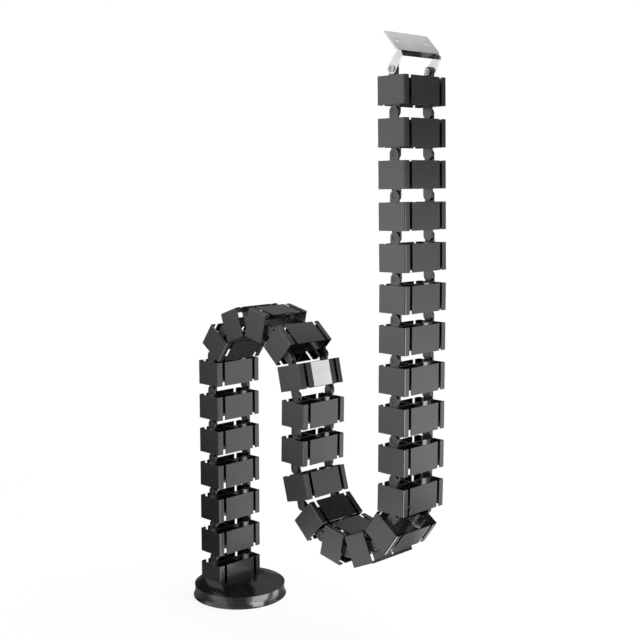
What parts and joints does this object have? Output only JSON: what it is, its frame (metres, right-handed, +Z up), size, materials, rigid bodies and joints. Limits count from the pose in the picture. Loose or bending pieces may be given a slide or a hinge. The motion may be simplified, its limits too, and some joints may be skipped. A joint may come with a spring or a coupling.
{
  "type": "cable spine",
  "caption": "Floor-standing cable spine for a height-adjustable desk: hinged four-way links from a heavy round base to a steel bracket under the desk top.",
  "frame": {"origin": "middle of the round base on the floor", "axes": "+Z up; the chain bends in the XZ plane and its fold leads towards +X; every pivot runs along Y"},
  "size_m": [0.3408, 0.1122, 0.643],
  "materials": {
    "link_plastic": "satin black moulded plastic",
    "base_paint": "gloss black paint",
    "foot_rubber": "black rubber",
    "bracket_steel": "bright plated steel",
    "zinc_screw": "zinc-plated steel",
    "label_white": "white satin plate"
  },
  "bodies": {
    "base": {"base_plate": "base_paint", "foot_pad": "foot_rubber", "column_screws": "zinc_screw", "link_01": "link_plastic"},
    "link_02": {"link_02": "link_plastic"},
    "link_03": {"link_03": "link_plastic"},
    "link_04": {"link_04": "link_plastic"},
    "link_05": {"link_05": "link_plastic"},
    "link_06": {"link_06": "link_plastic"},
    "link_07": {"link_07": "link_plastic"},
    "link_08": {"link_08": "link_plastic"},
    "link_09": {"link_09": "link_plastic"},
    "link_10": {"link_10": "link_plastic"},
    "link_11": {"link_11": "link_plastic"},
    "link_12": {"link_12": "link_plastic", "label_plate": "label_white"},
    "link_13": {"link_13": "link_plastic"},
    "link_14": {"link_14": "link_plastic"},
    "link_15": {"link_15": "link_plastic"},
    "link_16": {"link_16": "link_plastic"},
    "link_17": {"link_17": "link_plastic"},
    "link_18": {"link_18": "link_plastic"},
    "link_19": {"link_19": "link_plastic"},
    "link_20": {"link_20": "link_plastic"},
    "link_21": {"link_21": "link_plastic"},
    "link_22": {"link_22": "link_plastic"},
    "link_23": {"link_23": "link_plastic"},
    "link_24": {"link_24": "link_plastic"},
    "link_25": {"link_25": "link_plastic"},
    "link_26": {"link_26": "link_plastic"},
    "link_27": {"link_27": "link_plastic"},
    "link_28": {"link_28": "link_plastic"},
    "link_29": {"link_29": "link_plastic"},
    "link_30": {"link_30": "link_plastic"},
    "bracket": {"bracket": "bracket_steel", "pivot_screws": "zinc_screw", "pivot_nuts": "zinc_screw"}
  },
  "joints": [
    {"name": "pivot_02", "type": "hinge", "parent": "base", "child": "link_02", "pos_m": [-0.016, 0, 0.0469], "axis": [0, 1, 0], "range_deg": [-38, 38]},
    {"name": "pivot_03", "type": "hinge", "parent": "link_02", "child": "link_03", "pos_m": [-0.016, 0, 0.0879], "axis": [0, 1, 0], "range_deg": [-38, 38]},
    {"name": "pivot_04", "type": "hinge", "parent": "link_03", "child": "link_04", "pos_m": [-0.016, 0, 0.1289], "axis": [0, 1, 0], "range_deg": [-38, 38]},
    {"name": "pivot_05", "type": "hinge", "parent": "link_04", "child": "link_05", "pos_m": [-0.016, 0, 0.1699], "axis": [0, 1, 0], "range_deg": [-38, 38]},
    {"name": "pivot_06", "type": "hinge", "parent": "link_05", "child": "link_06", "pos_m": [-0.016, 0, 0.2109], "axis": [0, 1, 0], "range_deg": [-38, 38]},
    {"name": "pivot_07", "type": "hinge", "parent": "link_06", "child": "link_07", "pos_m": [-0.016, 0, 0.2519], "axis": [0, 1, 0], "range_deg": [-38, 38]},
    {"name": "pivot_08", "type": "hinge", "parent": "link_07", "child": "link_08", "pos_m": [-0.016, 0, 0.2929], "axis": [0, 1, 0], "range_deg": [-35, 1.94]},
    {"name": "pivot_09", "type": "hinge", "parent": "link_08", "child": "link_09", "pos_m": [0.00752, 0, 0.32649], "axis": [0, 1, 0], "range_deg": [-35.01, 1.94]},
    {"name": "pivot_10", "type": "hinge", "parent": "link_09", "child": "link_10", "pos_m": [0.04604, 0, 0.34051], "axis": [0, 1, 0], "range_deg": [-33, 1.83]},
    {"name": "pivot_11", "type": "hinge", "parent": "link_10", "child": "link_11", "pos_m": [0.08599, 0, 0.33128], "axis": [0, 1, 0], "range_deg": [-29, 1.61]},
    {"name": "pivot_12", "type": "hinge", "parent": "link_11", "child": "link_12", "pos_m": [0.11646, 0, 0.30385], "axis": [0, 1, 0], "range_deg": [-35, 1.94]},
    {"name": "pivot_13", "type": "hinge", "parent": "link_12", "child": "link_13", "pos_m": [0.12568, 0, 0.2639], "axis": [0, 1, 0], "range_deg": [-14.01, 0.78]},
    {"name": "pivot_14", "type": "hinge", "parent": "link_13", "child": "link_14", "pos_m": [0.12497, 0, 0.22291], "axis": [0, 1, 0], "range_deg": [-38, 38]},
    {"name": "pivot_15", "type": "hinge", "parent": "link_14", "child": "link_15", "pos_m": [0.12425, 0, 0.18191], "axis": [0, 1, 0], "range_deg": [-0.89, 16.01]},
    {"name": "pivot_16", "type": "hinge", "parent": "link_15", "child": "link_16", "pos_m": [0.13487, 0, 0.14231], "axis": [0, 1, 0], "range_deg": [-1.78, 32.01]},
    {"name": "pivot_17", "type": "hinge", "parent": "link_16", "child": "link_17", "pos_m": [0.16485, 0, 0.11435], "axis": [0, 1, 0], "range_deg": [-1.72, 31]},
    {"name": "pivot_18", "type": "hinge", "parent": "link_17", "child": "link_18", "pos_m": [0.20495, 0, 0.10583], "axis": [0, 1, 0], "range_deg": [-2, 36]},
    {"name": "pivot_19", "type": "hinge", "parent": "link_18", "child": "link_19", "pos_m": [0.24241, 0, 0.1225], "axis": [0, 1, 0], "range_deg": [-1.67, 30.01]},
    {"name": "pivot_20", "type": "hinge", "parent": "link_19", "child": "link_20", "pos_m": [0.26651, 0, 0.15567], "axis": [0, 1, 0], "range_deg": [-1.94, 35.01]},
    {"name": "pivot_21", "type": "hinge", "parent": "link_20", "child": "link_21", "pos_m": [0.26722, 0, 0.19666], "axis": [0, 1, 0], "range_deg": [-38, 38]},
    {"name": "pivot_22", "type": "hinge", "parent": "link_21", "child": "link_22", "pos_m": [0.26722, 0, 0.23766], "axis": [0, 1, 0], "range_deg": [-38, 38]},
    {"name": "pivot_23", "type": "hinge", "parent": "link_22", "child": "link_23", "pos_m": [0.26722, 0, 0.27866], "axis": [0, 1, 0], "range_deg": [-38, 38]},
    {"name": "pivot_24", "type": "hinge", "parent": "link_23", "child": "link_24", "pos_m": [0.26722, 0, 0.31966], "axis": [0, 1, 0], "range_deg": [-38, 38]},
    {"name": "pivot_25", "type": "hinge", "parent": "link_24", "child": "link_25", "pos_m": [0.26722, 0, 0.36066], "axis": [0, 1, 0], "range_deg": [-38, 38]},
    {"name": "pivot_26", "type": "hinge", "parent": "link_25", "child": "link_26", "pos_m": [0.26722, 0, 0.40166], "axis": [0, 1, 0], "range_deg": [-38, 38]},
    {"name": "pivot_27", "type": "hinge", "parent": "link_26", "child": "link_27", "pos_m": [0.26637, 0, 0.44266], "axis": [0, 1, 0], "range_deg": [-38, 38]},
    {"name": "pivot_28", "type": "hinge", "parent": "link_27", "child": "link_28", "pos_m": [0.26551, 0, 0.48365], "axis": [0, 1, 0], "range_deg": [-38, 38]},
    {"name": "pivot_29", "type": "hinge", "parent": "link_28", "child": "link_29", "pos_m": [0.26465, 0, 0.52464], "axis": [0, 1, 0], "range_deg": [-38, 38]},
    {"name": "pivot_30", "type": "hinge", "parent": "link_29", "child": "link_30", "pos_m": [0.26379, 0, 0.56563], "axis": [0, 1, 0], "range_deg": [-38, 38]},
    {"name": "bracket_tilt", "type": "hinge", "parent": "link_30", "child": "bracket", "pos_m": [0.26293, 0, 0.60662], "axis": [0, 1, 0], "range_deg": [-115, 40]}
  ],
  "couplings": [
    {"joint": "pivot_03", "follows": "pivot_02", "ratio": -1},
    {"joint": "pivot_04", "follows": "pivot_02", "ratio": 1},
    {"joint": "pivot_05", "follows": "pivot_02", "ratio": -1},
    {"joint": "pivot_06", "follows": "pivot_02", "ratio": 1},
    {"joint": "pivot_07", "follows": "pivot_02", "ratio": -1},
    {"joint": "pivot_09", "follows": "pivot_08", "ratio": 1},
    {"joint": "pivot_10", "follows": "pivot_08", "ratio": 0.94286},
    {"joint": "pivot_11", "follows": "pivot_12", "ratio": 0.82857},
    {"joint": "pivot_13", "follows": "pivot_12", "ratio": 0.4},
    {"joint": "pivot_15", "follows": "pivot_12", "ratio": -0.45714},
    {"joint": "pivot_16", "follows": "pivot_12", "ratio": -0.91429},
    {"joint": "pivot_17", "follows": "pivot_12", "ratio": -0.88571},
    {"joint": "pivot_18", "follows": "pivot_08", "ratio": -1.0286},
    {"joint": "pivot_19", "follows": "pivot_08", "ratio": -0.85714},
    {"joint": "pivot_20", "follows": "pivot_08", "ratio": -1},
    {"joint": "pivot_21", "follows": "pivot_14", "ratio": -1},
    {"joint": "pivot_23", "follows": "pivot_22", "ratio": -1},
    {"joint": "pivot_24", "follows": "pivot_22", "ratio": 1},
    {"joint": "pivot_25", "follows": "pivot_22", "ratio": -1},
    {"joint": "pivot_26", "follows": "pivot_22", "ratio": 1},
    {"joint": "pivot_27", "follows": "pivot_22", "ratio": -1},
    {"joint": "pivot_28", "follows": "pivot_22", "ratio": 1},
    {"joint": "pivot_29", "follows": "pivot_22", "ratio": -1}
  ]
}
